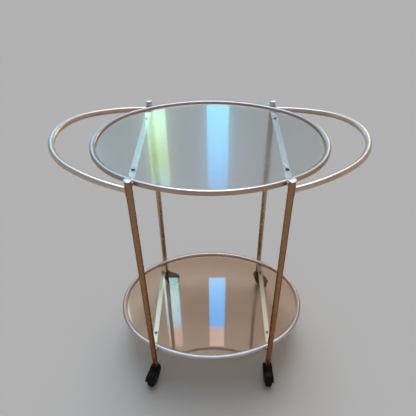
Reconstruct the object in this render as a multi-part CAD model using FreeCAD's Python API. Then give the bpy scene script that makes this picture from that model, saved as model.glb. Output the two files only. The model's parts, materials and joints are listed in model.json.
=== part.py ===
import FreeCAD, Part
import math
import os

# Two-tier bar cart with oval trays. Millimetres, Z up, floor at Z = 0, length along X, front towards -Y.

# Oval rings: centreline half length and half width, radius of the end arcs, tube and heights
RING_HALF_LENGTH = 298.5
RING_HALF_WIDTH = 227.0
RING_END_RADIUS = 195.5
RING_RADIUS = 7.25
RING_WALL = 1.2
UPPER_RING_Z = 763.5
LOWER_RING_Z = 139.0
SEAM_GAP = 0.4
DOWEL_LENGTH = 60.0

# Legs: place along the cart, gap to the rings, tube, and rise of the tops over the upper ring
LEG_X = 180.0
LEG_RING_GAP = 4.0
LEG_RADIUS = 8.0
LEG_WALL = 1.5
LEG_TOP_RISE = 14.5

# Low caps on the leg tops
CAP_RADIUS = 8.8
CAP_RIM = 2.0
CAP_DOME = 1.5
CAP_PLUG = 12.0

# Saddle blocks between ring and leg
SADDLE_WIDTH = 9.0
SADDLE_HEIGHT = 9.0

# Loop handles: reach past the rings, drop of the ends below the upper ring, rise to the tip, bends, tube
HANDLE_REACH = 98.5
HANDLE_DROP = 10.0
HANDLE_RISE = 6.7
HANDLE_END_RADIUS = 172.5
HANDLE_END_TURN = 55.3
HANDLE_RADIUS = 7.8
HANDLE_WALL = 1.2

# Curved plates between handle ends and legs
PLATE_THICKNESS = 2.0
PLATE_HEIGHT = 27.0
PLATE_SPREAD = 100.0

# Crossbars: flat strip, the tapered ends of the upper pair and the turned-down tabs of the lower pair
BAR_WIDTH = 15.0
BAR_THICKNESS = 3.0
BAR_END_WIDTH = 8.0
BAR_TAPER = 8.0
BEND_RADIUS = 2.5
TAB_LENGTH = 38.0
TAB_END_WIDTH = 11.0
TAB_HOLE_UP = 9.0

# Screws that hold the tabs to the legs
SCREW_RADIUS = 2.0
SCREW_LENGTH = 9.0
SCREW_HEAD_RADIUS = 3.6
SCREW_HEAD_HEIGHT = 2.2

# Bumper pads under the glass
PAD_RADIUS = 4.5
PAD_THICKNESS = 2.0
PAD_INSET = 72.0

# Glass plates
GLASS_THICKNESS = 6.0
GLASS_GAP = 1.0
GLASS_ARRIS = 1.0

# Casters: wheel, trail of the wheel behind the swivel axis, and the way each one points at rest
WHEEL_RADIUS = 25.0
WHEEL_WIDTH = 18.0
TYRE_SHOULDER = 4.0
HUB_RADIUS = 15.0
HUB_BOSS_RADIUS = 6.5
HUB_RIM = 2.0
HUB_DISH_DEPTH = 2.5
TRAIL = 26.0
AXLE_RADIUS = 3.0
AXLE_HEAD_RADIUS = 5.0
AXLE_HEAD_HEIGHT = 1.5
CASTER_TURN = {"front_left": -21.0, "front_right": 4.0, "rear_left": 75.0, "rear_right": 35.0}

# Caster hood, stem and socket
HOOD_WALL = 2.5
HOOD_CHEEK = 4.0
HOOD_RISE = 6.5
HOOD_BACK = 9.5
HOOD_FOOT = 12.0
HOOD_FOOT_ANGLES = (225.0, 300.0)
HOOD_FRONT_ANGLE = 150.0
HOOD_CROWN_ANGLE = 72.0
HOOD_ROUND = 3.0
STEM_RADIUS = 4.0
STEM_TOP_CLEAR = 2.0
STEM_DEPTH = 16.0
COLLAR_RADIUS = 7.0
COLLAR_HEIGHT = 3.7
SOCKET_LENGTH = 24.0
SOCKET_FLANGE = 2.0

# Clearances
PLUG_CLEAR = 0.05
RUNNING_CLEAR = 0.05
HOLE_CLEAR = 0.2
WHEEL_SIDE_GAP = 1.5
WHEEL_TOP_GAP = 2.0
THRUST_GAP = 0.3

# Values that follow from the sizes above
V = FreeCAD.Vector
ORIGIN = V(0, 0, 0)
X_AXIS = V(1, 0, 0)
Y_AXIS = V(0, 1, 0)
Z_AXIS = V(0, 0, 1)
RING_END_CENTRE = RING_HALF_LENGTH - RING_END_RADIUS
SIDE_BULGE = RING_HALF_WIDTH - RING_END_RADIUS
RING_SIDE_CENTRE = (RING_END_CENTRE ** 2 - SIDE_BULGE ** 2) / (2 * SIDE_BULGE)
RING_SIDE_RADIUS = RING_HALF_WIDTH + RING_SIDE_CENTRE
RING_JOINT = math.degrees(math.atan2(RING_SIDE_CENTRE, RING_END_CENTRE))
LEG_REACH = RING_SIDE_RADIUS + RING_RADIUS + LEG_RING_GAP + LEG_RADIUS
LEG_Y = math.sqrt(LEG_REACH ** 2 - LEG_X ** 2) - RING_SIDE_CENTRE
LEG_BORE = LEG_RADIUS - LEG_WALL
LEG_TOP_Z = UPPER_RING_Z + LEG_TOP_RISE
HOOD_TOP_Z = 2 * WHEEL_RADIUS + WHEEL_TOP_GAP + HOOD_WALL + HOOD_RISE
SOCKET_FOOT_Z = HOOD_TOP_Z + COLLAR_HEIGHT + THRUST_GAP
LEG_BOTTOM_Z = SOCKET_FOOT_Z + SOCKET_FLANGE
FRONT_REACH = LEG_Y + TRAIL + WHEEL_RADIUS
REAR_REACH = RING_HALF_WIDTH + RING_RADIUS
PLAN_CENTRE = V(0, (FRONT_REACH - REAR_REACH) / 2, 0)
HANDLE_TIP_X = RING_HALF_LENGTH + HANDLE_REACH
HANDLE_Z = UPPER_RING_Z - HANDLE_DROP
BAR_END_Y = LEG_Y - LEG_RADIUS
PAD_Y = LEG_Y - PAD_INSET
POCKET_WIDTH = WHEEL_WIDTH + 2 * WHEEL_SIDE_GAP
HOOD_WIDTH = POCKET_WIDTH + 2 * HOOD_CHEEK
CORNERS = {
    "front_left": V(-LEG_X, -LEG_Y, 0),
    "front_right": V(LEG_X, -LEG_Y, 0),
    "rear_left": V(-LEG_X, LEG_Y, 0),
    "rear_right": V(LEG_X, LEG_Y, 0),
}
SIDES = {"left": -1, "right": 1}


def save(name, shapes):
    """Writes one node, a single solid or a group of equal solids, in the frame of the whole cart."""
    group = shapes if isinstance(shapes, list) else [shapes]
    solids = []
    for shape in group:
        for solid in shape.Solids:
            moved = solid.copy()
            moved.translate(PLAN_CENTRE)
            solids.append(moved)
    node = solids[0] if len(solids) == 1 else Part.makeCompound(solids)
    node.exportStep("parts/" + name + ".step")


def arc_rod(centre, bend_radius, rod_radius, start, sweep):
    """Round rod bent to a level arc, from the angle start through sweep degrees."""
    rod = Part.makeTorus(bend_radius, rod_radius, ORIGIN, Z_AXIS, -180, 180, sweep)
    rod.rotate(ORIGIN, Z_AXIS, start)
    rod.translate(centre)
    return rod


def arc_tube(centre, bend_radius, radius, wall, start, sweep):
    """Round tube bent to a level arc."""
    outside = arc_rod(centre, bend_radius, radius, start, sweep)
    return outside.cut(arc_rod(centre, bend_radius, radius - wall, start, sweep))


def join(shapes):
    """One solid out of pieces that meet face to face."""
    return shapes[0].fuse(shapes[1:]).removeSplitter()


def upright(radius, bottom, top, place=ORIGIN):
    """Upright cylinder between two heights."""
    return Part.makeCylinder(radius, top - bottom, place + V(0, 0, bottom))


def oval_spans():
    """The four arcs of the oval: centre, radius, first angle and sweep."""
    end_sweep = 2 * RING_JOINT
    side_sweep = 180 - end_sweep
    return [
        (V(RING_END_CENTRE, 0, 0), RING_END_RADIUS, -RING_JOINT, end_sweep),
        (V(0, -RING_SIDE_CENTRE, 0), RING_SIDE_RADIUS, RING_JOINT, side_sweep),
        (V(-RING_END_CENTRE, 0, 0), RING_END_RADIUS, 180 - RING_JOINT, end_sweep),
        (V(0, RING_SIDE_CENTRE, 0), RING_SIDE_RADIUS, 180 + RING_JOINT, side_sweep),
    ]


def ring_rod(height):
    """The full outside of a ring, as a solid rod."""
    spans = [arc_rod(c, r, RING_RADIUS, start, sweep) for c, r, start, sweep in oval_spans()]
    rod = join(spans)
    rod.translate(V(0, 0, height))
    return rod


def ring(height, seam_side):
    """Oval tube with a butt seam at the middle of its front (-1) or back (1)."""
    spans = [arc_tube(c, r, RING_RADIUS, RING_WALL, start, sweep) for c, r, start, sweep in oval_spans()]
    tube = join(spans)
    size = 2 * RING_RADIUS + 2 * RING_WALL
    slot = Part.makeBox(SEAM_GAP, size, size)
    slot.translate(V(-SEAM_GAP / 2, seam_side * RING_HALF_WIDTH - size / 2, -size / 2))
    tube = tube.cut(slot)
    tube.translate(V(0, 0, height))
    return tube


def dowel(height, seam_side):
    """Short bent rod inside a ring, across its seam."""
    sweep = math.degrees(DOWEL_LENGTH / RING_SIDE_RADIUS)
    centre = V(0, -seam_side * RING_SIDE_CENTRE, height)
    radius = RING_RADIUS - RING_WALL - PLUG_CLEAR
    middle = math.degrees(math.atan2(seam_side, 0))
    return arc_rod(centre, RING_SIDE_RADIUS, radius, middle - sweep / 2, sweep)


def ring_saddle(place, height, rod):
    """Block that fills the gap between one leg and a ring, hollowed to both tubes."""
    centre = V(0, -math.copysign(RING_SIDE_CENTRE, place.y), 0)
    reach = place - centre
    length = reach.Length - RING_SIDE_RADIUS
    block = Part.makeBox(length, SADDLE_WIDTH, SADDLE_HEIGHT)
    block.translate(V(RING_SIDE_RADIUS, -SADDLE_WIDTH / 2, -SADDLE_HEIGHT / 2))
    block.rotate(ORIGIN, Z_AXIS, math.degrees(math.atan2(reach.y, reach.x)))
    block.translate(centre + V(0, 0, height))
    leg_outside = upright(LEG_RADIUS, height - SADDLE_HEIGHT, height + SADDLE_HEIGHT, place)
    return block.cut(leg_outside).cut(rod)


def leg(place, hole_z):
    """Upright tube with one screw hole on the side that faces the middle."""
    tube = upright(LEG_RADIUS, LEG_BOTTOM_Z, LEG_TOP_Z, place)
    tube = tube.cut(upright(LEG_BORE, LEG_BOTTOM_Z, LEG_TOP_Z, place))
    inward = V(0, -math.copysign(1, place.y), 0)
    hole = Part.makeCylinder(SCREW_RADIUS + PLUG_CLEAR, 2 * LEG_RADIUS, place + V(0, 0, hole_z), inward)
    return tube.cut(hole)


def leg_cap(place):
    """Plug, rim and low dome on a leg top."""
    rim_z = LEG_TOP_Z + CAP_RIM
    dome_radius = (CAP_RADIUS ** 2 + CAP_DOME ** 2) / (2 * CAP_DOME)
    ball = Part.makeSphere(dome_radius, V(0, 0, rim_z + CAP_DOME - dome_radius))
    dome = ball.common(upright(CAP_RADIUS, rim_z, rim_z + CAP_DOME))
    rim = upright(CAP_RADIUS, LEG_TOP_Z, rim_z)
    plug = upright(LEG_BORE - PLUG_CLEAR, LEG_TOP_Z - CAP_PLUG, LEG_TOP_Z)
    cap = join([rim, dome, plug])
    cap.translate(place)
    return cap


def handle_shape():
    """Reach of the handle in its own plane, and its flank arc: centre, radius, end angle at the leg."""
    reach = (HANDLE_TIP_X - LEG_X) / math.cos(math.radians(HANDLE_RISE))
    end_centre = V(reach - HANDLE_END_RADIUS, 0, 0)
    turn = math.radians(HANDLE_END_TURN)
    outward = V(math.cos(turn), math.sin(turn), 0)
    to_leg = V(0, LEG_Y, 0) - end_centre
    over = to_leg.dot(to_leg) - HANDLE_END_RADIUS ** 2
    shift = over / (2 * (HANDLE_END_RADIUS - to_leg.dot(outward)))
    flank_centre = end_centre - outward * shift
    from_flank = V(0, LEG_Y, 0) - flank_centre
    leg_angle = math.degrees(math.atan2(from_flank.y, from_flank.x))
    return end_centre, flank_centre, HANDLE_END_RADIUS + shift, leg_angle


def place_handle(shape, side):
    """Moves a handle from its own plane to one end of the cart, rising towards the tip."""
    shape.rotate(ORIGIN, Y_AXIS, -HANDLE_RISE)
    shape.translate(V(LEG_X, 0, HANDLE_Z))
    if side < 0:
        shape.rotate(ORIGIN, Z_AXIS, 180)
    return shape


def handle(side):
    """Bent tube loop from the front leg to the rear leg, hollowed at its ends to the curved plates."""
    end_centre, flank_centre, flank_radius, leg_angle = handle_shape()
    flank_sweep = leg_angle - HANDLE_END_TURN
    mirrored = V(flank_centre.x, -flank_centre.y, 0)
    size = (HANDLE_RADIUS, HANDLE_WALL)
    spans = [
        arc_tube(end_centre, HANDLE_END_RADIUS, *size, -HANDLE_END_TURN, 2 * HANDLE_END_TURN),
        arc_tube(flank_centre, flank_radius, *size, HANDLE_END_TURN, flank_sweep),
        arc_tube(mirrored, flank_radius, *size, -leg_angle, flank_sweep),
    ]
    loop = place_handle(join(spans), side)
    seat = LEG_RADIUS + PLATE_THICKNESS
    for y in (-LEG_Y, LEG_Y):
        foot = V(side * LEG_X, y, 0)
        loop = loop.cut(upright(seat, HANDLE_Z - PLATE_HEIGHT, HANDLE_Z + PLATE_HEIGHT, foot))
    return max(loop.Solids, key=lambda solid: solid.Volume)


def handle_plate(place):
    """Curved plate on the outer side of a leg, facing the handle end."""
    leg_angle = handle_shape()[3]
    facing = leg_angle - 90
    if place.y < 0:
        facing = -facing
    if place.x < 0:
        facing = 180 - facing
    bottom = HANDLE_Z - PLATE_HEIGHT / 2
    plate = Part.makeCylinder(LEG_RADIUS + PLATE_THICKNESS, PLATE_HEIGHT, ORIGIN, Z_AXIS, PLATE_SPREAD)
    plate = plate.cut(Part.makeCylinder(LEG_RADIUS, PLATE_HEIGHT))
    plate.rotate(ORIGIN, Z_AXIS, facing - PLATE_SPREAD / 2)
    plate.translate(place + V(0, 0, bottom))
    return plate


def flat_bar(side, top):
    """Straight strip between the front and the rear leg, under a ring, with tapered ends."""
    half = BAR_WIDTH / 2
    nose = BAR_END_WIDTH / 2
    shoulder = BAR_END_Y - BAR_TAPER
    points = [V(-nose, -BAR_END_Y, 0), V(nose, -BAR_END_Y, 0), V(half, -shoulder, 0), V(half, shoulder, 0),
              V(nose, BAR_END_Y, 0), V(-nose, BAR_END_Y, 0), V(-half, shoulder, 0), V(-half, -shoulder, 0)]
    strip = Part.Face(Part.makePolygon(points + points[:1])).extrude(V(0, 0, -BAR_THICKNESS))
    strip.translate(V(side * LEG_X, 0, top))
    return strip


def strip_profile(top):
    """Side outline of the strip with both ends turned down, as a face across X."""
    outer = BEND_RADIUS + BAR_THICKNESS
    foot = top - TAB_LENGTH
    slope = math.sqrt(0.5)
    ends = []
    for s in (1, -1):
        corner = V(0, s * (BAR_END_Y - outer), top - outer)
        diagonal = V(0, s * slope, slope)
        ends.append({
            "top": corner + V(0, 0, outer),
            "outer_mid": corner + diagonal * outer,
            "outer": corner + V(0, s * outer, 0),
            "foot_outer": V(0, s * BAR_END_Y, foot),
            "foot_inner": V(0, s * (BAR_END_Y - BAR_THICKNESS), foot),
            "inner": corner + V(0, s * BEND_RADIUS, 0),
            "inner_mid": corner + diagonal * BEND_RADIUS,
            "under": corner + V(0, 0, BEND_RADIUS),
        })
    right, left = ends
    edges = [Part.makeLine(left["top"], right["top"])]
    for end in (right, left):
        edges.append(Part.Arc(end["top"], end["outer_mid"], end["outer"]).toShape())
        edges.append(Part.makeLine(end["outer"], end["foot_outer"]))
        edges.append(Part.makeLine(end["foot_outer"], end["foot_inner"]))
        edges.append(Part.makeLine(end["foot_inner"], end["inner"]))
        edges.append(Part.Arc(end["inner"], end["inner_mid"], end["under"]).toShape())
    edges.append(Part.makeLine(right["under"], left["under"]))
    return Part.Face(Part.Wire(Part.__sortEdges__(edges)))


def tab_outline(top):
    """Front outline of the strip: straight sides, then tabs that narrow to a round end."""
    half = BAR_WIDTH / 2
    end = TAB_END_WIDTH / 2
    bend_z = top - BEND_RADIUS - BAR_THICKNESS
    foot = top - TAB_LENGTH
    points = [V(-end, 0, foot + end), V(-half, 0, bend_z), V(-half, 0, top), V(half, 0, top),
              V(half, 0, bend_z), V(end, 0, foot + end)]
    edges = [Part.makeLine(a, b) for a, b in zip(points, points[1:])]
    edges.append(Part.Arc(points[-1], V(0, 0, foot), points[0]).toShape())
    return Part.Face(Part.Wire(Part.__sortEdges__(edges)))


def tabbed_bar(side, top, hole_z):
    """Strip with turned-down ends, each with a screw hole."""
    strip = strip_profile(top).extrude(V(BAR_WIDTH, 0, 0))
    strip.translate(V(-BAR_WIDTH / 2, 0, 0))
    outline = tab_outline(top).extrude(V(0, 2 * BAR_END_Y, 0))
    outline.translate(V(0, -BAR_END_Y, 0))
    strip = strip.common(outline)
    holes = Part.makeCylinder(SCREW_RADIUS + HOLE_CLEAR, 2 * BAR_END_Y, V(0, -BAR_END_Y, hole_z), Y_AXIS)
    strip = strip.cut(holes)
    strip.translate(V(side * LEG_X, 0, 0))
    return strip


def tab_screw(place, hole_z):
    """Pan-head screw through a tab into the leg wall, head towards the middle."""
    outward = V(0, math.copysign(1, place.y), 0)
    seat = V(place.x, math.copysign(BAR_END_Y - BAR_THICKNESS, place.y), hole_z)
    shank = Part.makeCylinder(SCREW_RADIUS, SCREW_LENGTH, seat, outward)
    head = Part.makeCylinder(SCREW_HEAD_RADIUS, SCREW_HEAD_HEIGHT, seat, outward * -1)
    crown = [edge for edge in head.Edges if edge.BoundBox.YLength < SCREW_HEAD_HEIGHT / 2
             and abs(edge.CenterOfMass.y) < abs(seat.y) - SCREW_HEAD_HEIGHT / 2]
    head = head.makeFillet(SCREW_HEAD_HEIGHT / 2, crown)
    return join([shank, head])


def pads(top):
    """Four round bumpers on a pair of crossbars."""
    return [upright(PAD_RADIUS, top, top + PAD_THICKNESS, V(sx * LEG_X, sy * PAD_Y, 0))
            for sx in (-1, 1) for sy in (-1, 1)]


def glass(bar_top):
    """Oval plate on the pads, clear of the ring all round, with broken edges."""
    inset = RING_RADIUS + GLASS_GAP
    edges = []
    for centre, radius, start, sweep in oval_spans():
        curve = Part.Circle(centre, Z_AXIS, radius - inset)
        edges.append(curve.toShape(math.radians(start), math.radians(start + sweep)))
    plate = Part.Face(Part.Wire(Part.__sortEdges__(edges))).extrude(V(0, 0, GLASS_THICKNESS))
    level = [edge for edge in plate.Edges if edge.BoundBox.ZLength < GLASS_THICKNESS / 2]
    plate = plate.makeChamfer(GLASS_ARRIS, level)
    plate.translate(V(0, 0, bar_top + PAD_THICKNESS))
    return plate


def across(radius, half_width):
    """Cylinder along X through the wheel centre of a caster that points to the front."""
    return Part.makeCylinder(radius, 2 * half_width, V(-half_width, -TRAIL, WHEEL_RADIUS), X_AXIS)


def wheel_point(radius, angle):
    """Point at an angle round the wheel centre, from straight back over the top."""
    turn = math.radians(angle)
    return V(0, -TRAIL + radius * math.cos(turn), WHEEL_RADIUS + radius * math.sin(turn))


def hood():
    """Caster hood: a helmet over the wheel with two cheeks that carry the axle and a boss for the stem."""
    outer = WHEEL_RADIUS + WHEEL_TOP_GAP + HOOD_WALL
    front = wheel_point(outer, HOOD_FRONT_ANGLE)
    crown = wheel_point(outer, HOOD_CROWN_ANGLE)
    middle = wheel_point(outer, (HOOD_FRONT_ANGLE + HOOD_CROWN_ANGLE) / 2)
    foot_front, foot_back = [wheel_point(HOOD_FOOT, angle) for angle in HOOD_FOOT_ANGLES]
    corners = [crown, V(0, -HOOD_BACK, HOOD_TOP_Z), V(0, HOOD_BACK, HOOD_TOP_Z),
               V(0, HOOD_BACK, HOOD_TOP_Z - STEM_DEPTH), foot_back, foot_front, front]
    edges = [Part.makeLine(a, b) for a, b in zip(corners, corners[1:])]
    edges.append(Part.Arc(front, middle, crown).toShape())
    side = Part.Face(Part.Wire(Part.__sortEdges__(edges)))
    block = side.extrude(V(HOOD_WIDTH, 0, 0))
    block.translate(V(-HOOD_WIDTH / 2, 0, 0))
    rims = [edge for edge in block.Edges if edge.BoundBox.XLength < HOOD_CHEEK
            and edge.CenterOfMass.z > WHEEL_RADIUS + HOOD_FOOT]
    block = block.makeFillet(HOOD_ROUND, rims)
    block = block.cut(across(WHEEL_RADIUS + WHEEL_TOP_GAP, POCKET_WIDTH / 2))
    block = block.cut(across(AXLE_RADIUS, HOOD_WIDTH))
    return block.cut(upright(STEM_RADIUS, HOOD_TOP_Z - STEM_DEPTH, HOOD_TOP_Z))


def axle():
    """Pin through the hood's cheeks with a low head at each end."""
    half = HOOD_WIDTH / 2
    pin = across(AXLE_RADIUS, half)
    heads = across(AXLE_HEAD_RADIUS, half + AXLE_HEAD_HEIGHT).cut(across(AXLE_HEAD_RADIUS, half))
    return join([pin] + heads.Solids)


def hub():
    """Wheel centre, dished between its rim and a boss that reaches almost to the cheeks."""
    rim = across(HUB_RADIUS, WHEEL_WIDTH / 2).cut(across(HUB_RADIUS - HUB_RIM, WHEEL_WIDTH / 2))
    web = across(HUB_RADIUS - HUB_RIM, WHEEL_WIDTH / 2 - HUB_DISH_DEPTH)
    boss = across(HUB_BOSS_RADIUS, POCKET_WIDTH / 2 - THRUST_GAP)
    return join([rim, web, boss]).cut(across(AXLE_RADIUS + RUNNING_CLEAR, POCKET_WIDTH))


def tyre():
    """Ring of rubber on the hub with round shoulders."""
    tread = across(WHEEL_RADIUS, WHEEL_WIDTH / 2)
    rims = [edge for edge in tread.Edges if edge.BoundBox.XLength < WHEEL_WIDTH / 2]
    return tread.makeFillet(TYRE_SHOULDER, rims).cut(across(HUB_RADIUS, WHEEL_WIDTH))


def stem():
    """Swivel stem with the collar that carries the leg."""
    pin_top = LEG_BOTTOM_Z + SOCKET_LENGTH - STEM_TOP_CLEAR
    pin = upright(STEM_RADIUS, HOOD_TOP_Z - STEM_DEPTH, pin_top)
    return join([pin, upright(COLLAR_RADIUS, HOOD_TOP_Z, HOOD_TOP_Z + COLLAR_HEIGHT)])


def socket(place):
    """Flanged bush in a leg bottom, bored for the stem."""
    bush = upright(LEG_BORE - PLUG_CLEAR, LEG_BOTTOM_Z, LEG_BOTTOM_Z + SOCKET_LENGTH, place)
    flange = upright(LEG_RADIUS, SOCKET_FOOT_Z, LEG_BOTTOM_Z, place)
    bore = upright(STEM_RADIUS + RUNNING_CLEAR, SOCKET_FOOT_Z, LEG_BOTTOM_Z + SOCKET_LENGTH, place)
    return join([bush, flange]).cut(bore)


def turned(shape, corner):
    """Turns a caster piece about its swivel axis and moves it under its leg."""
    piece = shape.copy()
    piece.rotate(ORIGIN, Z_AXIS, CASTER_TURN[corner])
    piece.translate(CORNERS[corner])
    return piece


os.makedirs("parts", exist_ok=True)
upper_bar_top = UPPER_RING_Z - RING_RADIUS
lower_bar_top = LOWER_RING_Z - RING_RADIUS
tab_hole_z = lower_bar_top - TAB_LENGTH + TAB_HOLE_UP

save("upper_ring", ring(UPPER_RING_Z, -1))
save("lower_ring", ring(LOWER_RING_Z, 1))
save("upper_ring_dowel", dowel(UPPER_RING_Z, -1))
save("lower_ring_dowel", dowel(LOWER_RING_Z, 1))
for tier, ring_z in (("upper", UPPER_RING_Z), ("lower", LOWER_RING_Z)):
    outside = ring_rod(ring_z)
    save("ring_saddles_" + tier, [ring_saddle(place, ring_z, outside) for place in CORNERS.values()])

for corner, place in CORNERS.items():
    save("leg_" + corner, leg(place, tab_hole_z))
    save("leg_cap_" + corner, leg_cap(place))
    save("caster_socket_" + corner, socket(place))

for name, side in SIDES.items():
    save("handle_" + name, handle(side))
    save("handle_plates_" + name, [handle_plate(V(side * LEG_X, y, 0)) for y in (-LEG_Y, LEG_Y)])
    save("crossbar_upper_" + name, flat_bar(side, upper_bar_top))
    save("crossbar_lower_" + name, tabbed_bar(side, lower_bar_top, tab_hole_z))
save("tab_screws", [tab_screw(place, tab_hole_z) for place in CORNERS.values()])

for tier, bar_top in (("upper", upper_bar_top), ("lower", lower_bar_top)):
    save("pads_" + tier, pads(bar_top))
    save("glass_" + tier, glass(bar_top))

caster = {"hood": hood(), "stem": stem(), "axle": axle(), "hub": hub(), "tyre": tyre()}
for piece, shape in caster.items():
    for corner in CORNERS:
        save("caster_" + piece + "_" + corner, turned(shape, corner))
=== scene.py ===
import json
import math

import bpy
from mathutils import Matrix, Vector

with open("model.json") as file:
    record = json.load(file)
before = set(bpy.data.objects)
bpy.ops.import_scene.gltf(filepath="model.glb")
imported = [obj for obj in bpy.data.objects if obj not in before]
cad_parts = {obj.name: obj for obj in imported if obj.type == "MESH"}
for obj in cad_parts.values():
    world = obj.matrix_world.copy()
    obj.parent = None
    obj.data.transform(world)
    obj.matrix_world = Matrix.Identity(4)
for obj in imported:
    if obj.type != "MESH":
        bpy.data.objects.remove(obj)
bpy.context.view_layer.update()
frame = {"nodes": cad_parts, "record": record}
nodes = frame["nodes"]
scene = bpy.context.scene

# Camera: place, pitch, yaw and roll in radians, and focal length and optical centre in pixels
IMAGE_SIDE = 416.0
CAMERA_PLACE = (0.00803, -0.97830, 1.31668)
CAMERA_PITCH = 0.6811
CAMERA_YAW = 0.0119
CAMERA_ROLL = 0.0058
CAMERA_FOCAL = 435.05
CAMERA_CENTRE = (217.92, 215.62)
CAMERA_FAR = 100.0
SENSOR_WIDTH = 36.0

# Tube colours, linear: painted highlight on the top at front and rear, and clean and tarnished sides
FRAME_TOP_HIGHLIGHT = (0.51, 0.51, 0.51)
FRAME_CLEAN = (0.65, 0.51, 0.41)
FRAME_TARNISH = (0.53, 0.385, 0.285)
HIGH_RING_FRONT_HIGHLIGHT = (0.43, 0.46, 0.51)
HIGH_RING_REAR_HIGHLIGHT = (0.24, 0.31, 0.43)
HIGH_RING_CLEAN = (0.52, 0.37, 0.28)
HIGH_RING_TARNISH = (0.41, 0.27, 0.19)
LOW_RING_FRONT_HIGHLIGHT = (0.62, 0.64, 0.74)
LOW_RING_REAR_HIGHLIGHT = (0.33, 0.25, 0.22)

# Depths in Y between which the painted highlight on a ring's top goes over from its front to its rear
# colour
HIGH_RING_HIGHLIGHT_TURN = (0.04, 0.17)
LOW_RING_HIGHLIGHT_TURN = (-0.20, -0.06)

# Upward part of the surface direction at which the painted highlight on the top begins, and the width of
# the change
HIGH_HIGHLIGHT_START = 0.72
LOW_HIGHLIGHT_START = 0.60
HIGHLIGHT_WIDTH = 0.22

# Legs: colours, with the rear colour a painted brightening, tint of their edges, heights and depths
# between which they change, and most tarnish
LEG_HIGH = (0.38, 0.215, 0.115)
LEG_LOW = (0.50, 0.235, 0.11)
LEG_TARNISH = (0.36, 0.19, 0.10)
# Painted brightening: the rear legs take a paler colour than the front ones
LEG_REAR_PAINTED_BRIGHT = (0.56, 0.40, 0.28)
LEG_TIP = (0.66, 0.66, 0.64)
LEG_EDGE = (0.15, 0.12, 0.10)
LEG_FADE = (0.10, 0.70)
LEG_TIP_FADE = (0.766, 0.769)
LEG_REAR_PAINTED_BRIGHT_FADE = (-0.05, 0.05)
LEG_TARNISH_MOST = 0.3

# Colours of strips, caps, pads and small parts, linear
BAR_PALE = (0.93, 0.97, 1.00)
BAR_DARK = (0.86, 0.92, 0.96)
# Lower strips: a painted cool-light tint, bluer than the upper strips, set against the brown lower glass
LOW_BAR_PALE_PAINTED_COOL = (0.58, 0.84, 1.00)
LOW_BAR_DARK_PAINTED_COOL = (0.51, 0.76, 0.96)
CAP_BRIGHT = (0.60, 0.64, 0.68)
CAP_DULL = (0.48, 0.50, 0.52)
PAD_PALE = (0.84, 0.92, 0.94)
PAD_DULL = (0.72, 0.80, 0.82)
SCREW_PALE = (0.66, 0.63, 0.60)
SCREW_DARK = (0.42, 0.40, 0.37)
CASTER_PALE = (0.30, 0.26, 0.22)
CASTER_DARK = (0.16, 0.13, 0.11)
SOCKET_PALE = (0.018, 0.015, 0.012)
SOCKET_DARK = (0.008, 0.007, 0.006)
HOOD_PALE = (0.026, 0.013, 0.007)
HOOD_DARK = (0.004, 0.003, 0.002)
HUB_PALE = (0.018, 0.016, 0.014)
HUB_DARK = (0.007, 0.006, 0.006)
TYRE_PALE = (0.012, 0.011, 0.010)
TYRE_DARK = (0.005, 0.005, 0.005)

# Glass: tint over the centre of an oval and away from it, the oval's radii, refraction, haze and gloss;
# the tint away from the centre is painted light
UPPER_TINT = (0.78, 0.84, 0.86)
# Painted reflection: the upper pane turns greyer and warmer away from the oval's centre
UPPER_PAINTED_REFLECTION_TINT = (0.74, 0.73, 0.69)
UPPER_CENTRE = (-0.22, 0.0)
UPPER_REACH = (0.62, 0.90)
UPPER_INDEX = 1.3
UPPER_HAZE = 0.12
LOWER_TINT = (0.965, 0.80, 0.66)
# Painted shade: the lower pane darkens towards its rim
LOWER_PAINTED_SHADE_TINT = (0.72, 0.51, 0.38)
LOWER_CENTRE = (-0.04, -0.07)
LOWER_REACH = (0.36, 0.27)
LOWER_INDEX = 1.5
LOWER_HAZE = 0.01
TINT_FADE = (0.0, 0.55)
GLASS_GLOSS = 0.7
GLASS_GLOSS_ROUGH = 0.01
WIPE_HAZE = 0.06

# Gloss of pads and plastics
PAD_GLOSS_ROUGH = 0.35
PLASTIC_SHINE = 0.10

# Noise patterns: scale per metre, detail and roughness of each
CLOUDS = (14.0, 5.0, 0.6)
TUBE_SMUDGES = (60.0, 4.0, 0.55)
TUBE_GRAIN = (2200.0, 2.0, 0.55)
BAR_LINES = (900.0, 3.0, 0.6)
BAR_SMUDGES = (30.0, 4.0, 0.55)
CAP_MARKS = (120.0, 4.0, 0.55)
CAP_SMUDGES = (300.0, 3.0, 0.55)
CAP_GRAIN = (1800.0, 2.0, 0.55)
STEEL_BLOTCHES = (260.0, 4.0, 0.55)
STEEL_SMUDGES = (500.0, 3.0, 0.55)
STEEL_GRAIN = (2600.0, 2.0, 0.55)
WIPE_MARKS = (9.0, 6.0, 0.65)
GLASS_WAVES = (5.0, 2.0, 0.55)
PLASTIC_RUBS = (90.0, 5.0, 0.6)
PLASTIC_SMUDGES = (240.0, 3.0, 0.55)
PLASTIC_GRAIN = (1600.0, 2.0, 0.55)
PAD_BLOTCHES = (300.0, 3.0, 0.55)

# Stretch of the patterns that run along Y, and the part of each noise that is used
BAR_STRETCH = (1.0, 0.02, 1.0)
WIPE_STRETCH = (1.0, 0.35, 1.0)
SMUDGE_SPAN = (0.3, 0.7)
TUBE_CLOUD_SPAN = (0.40, 0.72)
LEG_CLOUD_SPAN = (0.45, 0.80)
WIPE_SPAN = (0.35, 0.75)
RUB_SPAN = (0.42, 0.72)

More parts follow.
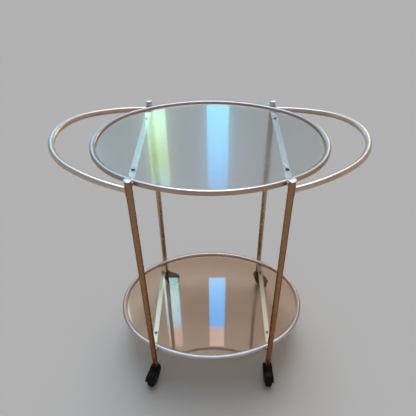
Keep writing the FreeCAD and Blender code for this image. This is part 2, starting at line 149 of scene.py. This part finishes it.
# Roughness from the smoothest to the dullest smudge
TUBE_ROUGH = (0.30, 0.40)
LEG_ROUGH = (0.20, 0.30)
BAR_ROUGH = (0.44, 0.54)
LOW_BAR_ROUGH = (0.32, 0.42)
CAP_ROUGH = (0.34, 0.46)
STEEL_ROUGH = (0.30, 0.45)
PLASTIC_ROUGH = (0.45, 0.65)
HOOD_ROUGH = (0.35, 0.55)
TYRE_ROUGH = (0.55, 0.75)
PAD_ROUGH = (0.35, 0.50)

# Relief: strength, and depth in metres
TUBE_RELIEF = (0.08, 0.0002)
BAR_RELIEF = (0.12, 0.0002)
CAP_RELIEF = (0.06, 0.0002)
STEEL_RELIEF = (0.10, 0.0002)
GLASS_RELIEF = (0.02, 0.002)
PLASTIC_RELIEF = (0.15, 0.0003)

# Studio: floor, and a round backdrop in the same tone
BLACK = (0.0, 0.0, 0.0)
FLOOR_SIDE = 30.0
FLOOR_GREY = (0.434, 0.430, 0.424)
FLOOR_ROUGH = 0.9
WALL_RADIUS = 14.0
WALL_HEIGHT = 9.0
WALL_SIDES = 64
WALL_GREY = (0.440, 0.440, 0.440)

# Soft sky: a low even level and three glows, each with its direction, the closeness to that direction
# at which it starts and at which it is full, and its level; then the tone from left to right
SKY_LOW = 0.20
SKY_LIGHTS = (
    ((0.0, 0.574, 0.819), 0.90, 0.975, 2.75),
    ((0.0, 0.25, 0.968), 0.45, 0.85, 0.28),
    ((0.0, 0.88, 0.475), 0.75, 0.95, 0.46),
)
SKY_ACROSS = 0.6
SKY_RAMP = (
    (0.10, (0.81, 1.00, 1.19)),
    (0.50, (0.93, 1.00, 1.08)),
    (0.62, (1.05, 1.00, 0.96)),
    (0.80, (1.24, 1.00, 0.83)),
)

# Key lamp: strength, and spread and tilt in degrees
LAMP_STRENGTH = 1.10
LAMP_SPREAD = 28.0
LAMP_TILT = 12.0

# Panels behind the cart that show only in reflections: a dim card, a cool and a warm side panel,
# and two pairs of tall strips, one pair for the upper glass and one for the lower
CARD_Y = 4.0
CARD_SPAN = (-1.5, 1.5)
CARD_HEIGHTS = (2.45, 6.70)
CARD_RAMP = (
    (0.28, (0.16, 0.24, 0.30)),
    (0.36, (0.36, 0.30, 0.25)),
    (0.55, (0.50, 0.42, 0.36)),
    (1.0, (1.50, 1.25, 1.10)),
)
SIDE_LEFT = (-3.4, -1.6)
SIDE_RIGHT = (1.6, 3.4)
SIDE_HEIGHTS = (0.9, 3.6)
SIDE_COOL = ((0.0, (0.7, 1.8, 2.8)), (1.0, (0.8, 2.2, 3.5)))
SIDE_WARM = ((0.0, (3.1, 2.6, 1.8)), (1.0, (3.5, 3.1, 2.3)))
STRIP_Y = 3.9
STRIP_LEFT = (-0.829, -0.581)
STRIP_RIGHT = (-0.075, 0.195)
HIGH_STRIP = (2.403, 3.70)
HIGH_LEFT_RAMP = ((0.22, (2.8, 4.8, 3.2)), (0.62, (1.6, 2.7, 0.6)), (0.88, (1.7, 3.0, 2.4)))
HIGH_RIGHT_RAMP = ((0.0, (0.75, 3.6, 5.2)), (0.94, (0.15, 1.9, 4.6)))
LOW_STRIP = (4.219, 6.121)
LOW_LEFT_RAMP = ((0.10, (2.4, 4.3, 4.4)), (0.60, (1.8, 3.6, 5.0)), (0.75, (2.8, 2.1, 1.9)))
LOW_RIGHT_RAMP = ((0.0, (0.6, 3.3, 6.6)), (0.64, (0.2, 2.5, 6.6)), (0.74, (3.1, 2.4, 2.3)))


def solid(colour):
    """A colour with full opacity, as shader sockets take it."""
    return colour + (1.0,)


class Paint:
    """A node material with one Principled shader and a few shorthand calls."""

    def __init__(self, name):
        self.material = bpy.data.materials.new(name)
        self.material.use_nodes = True
        self.tree = self.material.node_tree
        self.shader = self.tree.nodes["Principled BSDF"]
        self.space = self.tree.nodes.new("ShaderNodeTexCoord")
        self.place = self.space.outputs["Object"]

    def set(self, **values):
        """Sets shader sockets, with underscores for the spaces in their names."""
        for key, value in values.items():
            self.shader.inputs[key.replace("_", " ")].default_value = value

    def link(self, source, socket):
        self.tree.links.new(source, self.shader.inputs[socket])

    def part(self, output, axis):
        """One axis of the place or the surface direction."""
        node = self.tree.nodes.new("ShaderNodeSeparateXYZ")
        self.tree.links.new(self.space.outputs[output], node.inputs["Vector"])
        return node.outputs[axis]

    def mapped(self, scale, shift=(0.0, 0.0, 0.0)):
        """The place, scaled along each axis and then shifted."""
        node = self.tree.nodes.new("ShaderNodeMapping")
        node.inputs["Location"].default_value = shift
        node.inputs["Scale"].default_value = scale
        self.tree.links.new(self.place, node.inputs["Vector"])
        return node.outputs["Vector"]

    def noise(self, pattern, vector=None):
        """Cloudy values between 0 and 1 over the surface."""
        scale, detail, rough = pattern
        node = self.tree.nodes.new("ShaderNodeTexNoise")
        node.inputs["Scale"].default_value = scale
        node.inputs["Detail"].default_value = detail
        node.inputs["Roughness"].default_value = rough
        self.tree.links.new(vector or self.place, node.inputs["Vector"])
        return node.outputs["Fac"]

    def oval(self, centre, radius):
        """1 over a place in plan, falling to 0 at the edge of an oval round it."""
        scale = (1 / radius[0], 1 / radius[1], 0.0)
        shift = (-centre[0] / radius[0], -centre[1] / radius[1], 0.0)
        node = self.tree.nodes.new("ShaderNodeTexGradient")
        node.gradient_type = "SPHERICAL"
        self.tree.links.new(self.mapped(scale, shift), node.inputs["Vector"])
        return node.outputs["Fac"]

    def spread(self, source, span, low=0.0, high=1.0):
        """Takes a span of the source's values to the range from low to high."""
        node = self.tree.nodes.new("ShaderNodeMapRange")
        node.inputs["From Min"].default_value = span[0]
        node.inputs["From Max"].default_value = span[1]
        node.inputs["To Min"].default_value = low
        node.inputs["To Max"].default_value = high
        self.tree.links.new(source, node.inputs["Value"])
        return node.outputs["Result"]

    def blend(self, factor, first, second):
        """Goes from the first to the second colour, each a tuple or a socket."""
        node = self.tree.nodes.new("ShaderNodeMix")
        node.data_type = "RGBA"
        self.tree.links.new(factor, node.inputs["Factor"])
        for socket, value in (("A", first), ("B", second)):
            slot = [s for s in node.inputs if s.name == socket and s.type == "RGBA"][0]
            if isinstance(value, tuple):
                slot.default_value = solid(value)
            else:
                self.tree.links.new(value, slot)
        return [s for s in node.outputs if s.type == "RGBA"][0]

    def smudge(self, pattern, rough):
        """Roughness that changes with a noise pattern."""
        self.link(self.spread(self.noise(pattern), SMUDGE_SPAN, *rough), "Roughness")

    def bump(self, source, relief):
        """Fine relief from a pattern."""
        strength, depth = relief
        node = self.tree.nodes.new("ShaderNodeBump")
        node.inputs["Strength"].default_value = strength
        node.inputs["Distance"].default_value = depth
        self.tree.links.new(source, node.inputs["Height"])
        self.link(node.outputs["Normal"], "Normal")


def tube_metal(name, highlight_tops, turn, sides, highlight_start):
    """Satin tube with a painted highlight on its upward faces, brown with cloudy tarnish on its sides and
    underneath.
    """
    paint = Paint(name)
    paint.set(Metallic=1.0)
    brown = paint.blend(paint.spread(paint.noise(CLOUDS), TUBE_CLOUD_SPAN), *sides)
    highlight = paint.blend(paint.spread(paint.part("Object", "Y"), turn), *highlight_tops)
    # Painted highlight: faces that point upward take the lighter top colour
    highlight_share = paint.spread(paint.part("Normal", "Z"), (highlight_start, highlight_start + HIGHLIGHT_WIDTH))
    paint.link(paint.blend(highlight_share, brown, highlight), "Base Color")
    paint.smudge(TUBE_SMUDGES, TUBE_ROUGH)
    paint.bump(paint.noise(TUBE_GRAIN), TUBE_RELIEF)
    return paint.material


def leg_metal(name):
    """Tube metal that deepens in colour towards the casters; the rear legs are painted paler against the
    darker tray they mirror, with silvery tops.
    """
    paint = Paint(name)
    paint.set(Metallic=1.0, Specular_Tint=solid(LEG_EDGE))
    height = paint.part("Object", "Z")
    front = paint.blend(paint.spread(height, LEG_FADE), LEG_LOW, LEG_HIGH)
    # Painted brightening on the rear legs, blended in by depth
    rear_brightened = paint.blend(paint.spread(height, LEG_TIP_FADE), LEG_REAR_PAINTED_BRIGHT, LEG_TIP)
    body = paint.blend(paint.spread(paint.part("Object", "Y"), LEG_REAR_PAINTED_BRIGHT_FADE), front, rear_brightened)
    cloud = paint.spread(paint.noise(CLOUDS), LEG_CLOUD_SPAN, high=LEG_TARNISH_MOST)
    paint.link(paint.blend(cloud, body, LEG_TARNISH), "Base Color")
    paint.smudge(TUBE_SMUDGES, LEG_ROUGH)
    paint.bump(paint.noise(TUBE_GRAIN), TUBE_RELIEF)
    return paint.material


def bar_metal(name, dark, pale, rough):
    """Flat strip with drawing lines along its length."""
    paint = Paint(name)
    paint.set(Metallic=1.0)
    lines = paint.noise(BAR_LINES, paint.mapped(BAR_STRETCH))
    paint.link(paint.blend(lines, dark, pale), "Base Color")
    paint.smudge(BAR_SMUDGES, rough)
    paint.bump(lines, BAR_RELIEF)
    return paint.material


def cap_metal(name):
    """Bright metal with small handling marks."""
    paint = Paint(name)
    paint.set(Metallic=1.0)
    paint.link(paint.blend(paint.noise(CAP_MARKS), CAP_DULL, CAP_BRIGHT), "Base Color")
    paint.smudge(CAP_SMUDGES, CAP_ROUGH)
    paint.bump(paint.noise(CAP_GRAIN), CAP_RELIEF)
    return paint.material


def steel(name, dark, pale):
    """Plain small-part steel with blotches."""
    paint = Paint(name)
    paint.set(Metallic=1.0)
    paint.link(paint.blend(paint.noise(STEEL_BLOTCHES), dark, pale), "Base Color")
    paint.smudge(STEEL_SMUDGES, STEEL_ROUGH)
    paint.bump(paint.noise(STEEL_GRAIN), STEEL_RELIEF)
    return paint.material


def glass(name, tint, far_painted_tint, centre, reach, index, haze):
    """Float glass with a fine haze, faint wipe marks and a slight waviness, under a clean gloss; its tint
    away from an oval's centre is painted light.
    """
    paint = Paint(name)
    paint.set(Transmission_Weight=1.0, IOR=index)
    paint.set(Coat_Weight=GLASS_GLOSS, Coat_Roughness=GLASS_GLOSS_ROUGH)
    # Painted light: the tint goes from the centre tint to the far tint towards the oval's edge
    near = paint.spread(paint.oval(centre, reach), TINT_FADE)
    paint.link(paint.blend(near, far_painted_tint, tint), "Base Color")
    marks = paint.noise(WIPE_MARKS, paint.mapped(WIPE_STRETCH))
    paint.link(paint.spread(marks, WIPE_SPAN, haze, haze + WIPE_HAZE), "Roughness")
    paint.bump(paint.noise(GLASS_WAVES), GLASS_RELIEF)
    return paint.material


def plastic(name, dark, pale, rough):
    """Moulded or painted surface with fine grain and rubbed places."""
    paint = Paint(name)
    paint.set(Specular_IOR_Level=PLASTIC_SHINE)
    rubs = paint.spread(paint.noise(PLASTIC_RUBS), RUB_SPAN)
    paint.link(paint.blend(rubs, dark, pale), "Base Color")
    paint.smudge(PLASTIC_SMUDGES, rough)
    paint.bump(paint.noise(PLASTIC_GRAIN), PLASTIC_RELIEF)
    return paint.material


def pad_rubber(name):
    """Pale silicone bumper with a soft gloss."""
    paint = Paint(name)
    paint.set(Specular_IOR_Level=1.0, Coat_Weight=1.0, Coat_Roughness=PAD_GLOSS_ROUGH)
    paint.link(paint.blend(paint.noise(PAD_BLOTCHES), PAD_DULL, PAD_PALE), "Base Color")
    paint.smudge(PLASTIC_SMUDGES, PAD_ROUGH)
    return paint.material


def make_materials():
    """All materials of the cart, by name."""
    # The top colours are painted highlights on the tubes' upward faces
    frame_highlights = (FRAME_TOP_HIGHLIGHT, FRAME_TOP_HIGHLIGHT)
    brown_sides = (FRAME_CLEAN, FRAME_TARNISH)
    high_sides = (HIGH_RING_CLEAN, HIGH_RING_TARNISH)
    high_ring_highlights = (HIGH_RING_FRONT_HIGHLIGHT, HIGH_RING_REAR_HIGHLIGHT)
    low_ring_highlights = (LOW_RING_FRONT_HIGHLIGHT, LOW_RING_REAR_HIGHLIGHT)
    return {
        "frame_metal": tube_metal("frame_metal", frame_highlights, HIGH_RING_HIGHLIGHT_TURN, brown_sides, HIGH_HIGHLIGHT_START),
        "high_ring_metal": tube_metal("high_ring_metal", high_ring_highlights, HIGH_RING_HIGHLIGHT_TURN, high_sides, HIGH_HIGHLIGHT_START),
        "low_ring_metal": tube_metal("low_ring_metal", low_ring_highlights, LOW_RING_HIGHLIGHT_TURN, brown_sides, LOW_HIGHLIGHT_START),
        "leg_metal": leg_metal("leg_metal"),
        "cap_metal": cap_metal("cap_metal"),
        "bar_metal": bar_metal("bar_metal", BAR_DARK, BAR_PALE, BAR_ROUGH),
        "low_bar_metal": bar_metal("low_bar_metal", LOW_BAR_DARK_PAINTED_COOL, LOW_BAR_PALE_PAINTED_COOL, LOW_BAR_ROUGH),
        "upper_glass": glass("upper_glass", UPPER_TINT, UPPER_PAINTED_REFLECTION_TINT, UPPER_CENTRE, UPPER_REACH,
                             UPPER_INDEX, UPPER_HAZE),
        "lower_glass": glass("lower_glass", LOWER_TINT, LOWER_PAINTED_SHADE_TINT, LOWER_CENTRE, LOWER_REACH,
                             LOWER_INDEX, LOWER_HAZE),
        "pad_rubber": pad_rubber("pad_rubber"),
        "screw_steel": steel("screw_steel", SCREW_DARK, SCREW_PALE),
        "socket_plastic": plastic("socket_plastic", SOCKET_DARK, SOCKET_PALE, PLASTIC_ROUGH),
        "hood_metal": plastic("hood_metal", HOOD_DARK, HOOD_PALE, HOOD_ROUGH),
        "caster_steel": steel("caster_steel", CASTER_DARK, CASTER_PALE),
        "hub_plastic": plastic("hub_plastic", HUB_DARK, HUB_PALE, PLASTIC_ROUGH),
        "tyre_rubber": plastic("tyre_rubber", TYRE_DARK, TYRE_PALE, TYRE_ROUGH),
    }


def material_for(node, slots):
    """The record's slot, except where rings, lower strips and legs have a tone of their own, which carries
    painted light.
    """
    if node == "upper_ring":
        return "high_ring_metal"
    if node == "lower_ring":
        return "low_ring_metal"
    if node.startswith("crossbar_lower"):
        return "low_bar_metal"
    if node.startswith("leg_") and not node.startswith("leg_cap"):
        return "leg_metal"
    return slots[node]


def dress_cart():
    """Gives each piece its material."""
    materials = make_materials()
    slots = {part["node"]: part["material_slot"] for part in frame["record"]["subparts"]}
    for name, thing in nodes.items():
        thing.data.materials.clear()
        thing.data.materials.append(materials[material_for(name, slots)])


def make_camera():
    """Camera at the photograph's viewing angle and framing."""
    data = bpy.data.cameras.new("camera")
    data.sensor_fit = "HORIZONTAL"
    data.sensor_width = SENSOR_WIDTH
    data.lens = SENSOR_WIDTH * CAMERA_FOCAL / IMAGE_SIDE
    data.shift_x = (IMAGE_SIDE / 2 - CAMERA_CENTRE[0]) / IMAGE_SIDE
    data.shift_y = (CAMERA_CENTRE[1] - IMAGE_SIDE / 2) / IMAGE_SIDE
    data.clip_end = CAMERA_FAR
    camera = bpy.data.objects.new("camera", data)
    scene.collection.objects.link(camera)
    forward = Vector((math.sin(CAMERA_YAW) * math.cos(CAMERA_PITCH),
                      math.cos(CAMERA_YAW) * math.cos(CAMERA_PITCH),
                      -math.sin(CAMERA_PITCH)))
    level = Vector((math.cos(CAMERA_YAW), -math.sin(CAMERA_YAW), 0.0))
    upward = level.cross(forward)
    right = level * math.cos(CAMERA_ROLL) + upward * math.sin(CAMERA_ROLL)
    up = upward * math.cos(CAMERA_ROLL) - level * math.sin(CAMERA_ROLL)
    turn = Matrix((right, up, -forward)).transposed()
    camera.matrix_world = Matrix.Translation(CAMERA_PLACE) @ turn.to_4x4()
    scene.camera = camera


def make_sheet(name, points, faces, paint):
    """A plain mesh in the scene with one material."""
    mesh = bpy.data.meshes.new(name)
    mesh.from_pydata(points, [], faces)
    mesh.materials.append(paint.material)
    sheet = bpy.data.objects.new(name, mesh)
    scene.collection.objects.link(sheet)
    return sheet


def make_floor():
    """Plain pale floor."""
    half = FLOOR_SIDE / 2
    paint = Paint("floor")
    paint.set(Roughness=FLOOR_ROUGH, Specular_IOR_Level=0.0, Base_Color=solid(FLOOR_GREY))
    corners = [(-half, -half, 0), (half, -half, 0), (half, half, 0), (-half, half, 0)]
    floor = make_sheet("floor", corners, [(0, 1, 2, 3)], paint)


def make_backdrop():
    """Round wall far off on all sides, in the floor's tone; it shows in reflections but casts no light."""
    paint = Paint("backdrop")
    paint.set(Base_Color=solid(BLACK), Specular_IOR_Level=0.0)
    paint.set(Emission_Color=solid(WALL_GREY), Emission_Strength=1.0)
    paint.material.cycles.emission_sampling = "NONE"
    turns = [2 * math.pi * i / WALL_SIDES for i in range(WALL_SIDES)]
    ring = [(WALL_RADIUS * math.cos(t), WALL_RADIUS * math.sin(t)) for t in turns]
    points = [(x, y, z) for z in (0.0, WALL_HEIGHT) for x, y in ring]
    steps = [(i, (i + 1) % WALL_SIDES) for i in range(WALL_SIDES)]
    faces = [(i, j, j + WALL_SIDES, i + WALL_SIDES) for i, j in steps]
    wall = make_sheet("backdrop", points, faces, paint)
    wall.visible_diffuse = False
    wall.visible_shadow = False


def make_lamp():
    """Broad key lamp above and behind the cart; glass stops it, so it draws the shadow."""
    data = bpy.data.lights.new("key", "SUN")
    data.energy = LAMP_STRENGTH
    data.angle = math.radians(LAMP_SPREAD)
    data.cycles.use_multiple_importance_sampling = False
    lamp = bpy.data.objects.new("key", data)
    lamp.rotation_euler = (-math.radians(LAMP_TILT), 0.0, 0.0)
    scene.collection.objects.link(lamp)


def make_ramp(tree, factor, stops):
    """Colour ramp through the given stops, first and last included."""
    ramp = tree.nodes.new("ShaderNodeValToRGB")
    tree.links.new(factor, ramp.inputs["Fac"])
    elements = ramp.color_ramp.elements
    for element, (position, colour) in zip(elements, (stops[0], stops[-1])):
        element.position = position
        element.color = solid(colour)
    for position, colour in stops[1:-1]:
        elements.new(position).color = solid(colour)
    return ramp.outputs["Color"]


def make_sky():
    """Soft light from overhead and from low behind, cooler on the left than on the right."""
    world = bpy.data.worlds.new("studio")
    world.use_nodes = True
    tree = world.node_tree
    background = tree.nodes["Background"]
    direction = tree.nodes.new("ShaderNodeTexCoord").outputs["Generated"]
    total = None
    for toward, start, full, level in SKY_LIGHTS:
        angle = tree.nodes.new("ShaderNodeVectorMath")
        angle.operation = "DOT_PRODUCT"
        angle.inputs[1].default_value = toward
        tree.links.new(direction, angle.inputs[0])
        glow = tree.nodes.new("ShaderNodeMapRange")
        glow.interpolation_type = "SMOOTHSTEP"
        glow.inputs["From Min"].default_value = start
        glow.inputs["From Max"].default_value = full
        glow.inputs["To Max"].default_value = level
        tree.links.new(angle.outputs["Value"], glow.inputs["Value"])
        add = tree.nodes.new("ShaderNodeMath")
        add.inputs[1].default_value = SKY_LOW
        tree.links.new(glow.outputs["Result"], add.inputs[0])
        if total:
            tree.links.new(total, add.inputs[1])
        total = add.outputs["Value"]
    tree.links.new(total, background.inputs["Strength"])
    split = tree.nodes.new("ShaderNodeSeparateXYZ")
    tree.links.new(direction, split.inputs["Vector"])
    across = tree.nodes.new("ShaderNodeMapRange")
    across.inputs["From Min"].default_value = -SKY_ACROSS
    across.inputs["From Max"].default_value = SKY_ACROSS
    tree.links.new(split.outputs["X"], across.inputs["Value"])
    tree.links.new(make_ramp(tree, across.outputs["Result"], SKY_RAMP), background.inputs["Color"])
    scene.world = world


def make_panel(name, span, y, heights, stops):
    """Upright sheet across X behind the cart, whose glow changes from its foot to its top."""
    left, right = span
    low, high = heights
    paint = Paint(name)
    paint.set(Base_Color=solid(BLACK), Specular_IOR_Level=0.0, Emission_Strength=1.0)
    rise = paint.spread(paint.part("Object", "Z"), heights)
    paint.link(make_ramp(paint.tree, rise, stops), "Emission Color")
    corners = [(left, y, low), (right, y, low), (right, y, high), (left, y, high)]
    panel = make_sheet(name, corners, [(0, 1, 2, 3)], paint)
    panel.visible_camera = False
    panel.visible_diffuse = False
    panel.visible_shadow = False


dress_cart()
make_camera()
make_floor()
make_backdrop()
make_lamp()
make_sky()
make_panel("card", CARD_SPAN, CARD_Y, CARD_HEIGHTS, CARD_RAMP)
make_panel("side_left", SIDE_LEFT, CARD_Y, SIDE_HEIGHTS, SIDE_COOL)
make_panel("side_right", SIDE_RIGHT, CARD_Y, SIDE_HEIGHTS, SIDE_WARM)
make_panel("high_left", STRIP_LEFT, STRIP_Y, HIGH_STRIP, HIGH_LEFT_RAMP)
make_panel("high_right", STRIP_RIGHT, STRIP_Y, HIGH_STRIP, HIGH_RIGHT_RAMP)
make_panel("low_left", STRIP_LEFT, STRIP_Y, LOW_STRIP, LOW_LEFT_RAMP)
make_panel("low_right", STRIP_RIGHT, STRIP_Y, LOW_STRIP, LOW_RIGHT_RAMP)
scene.view_settings.view_transform = "Standard"
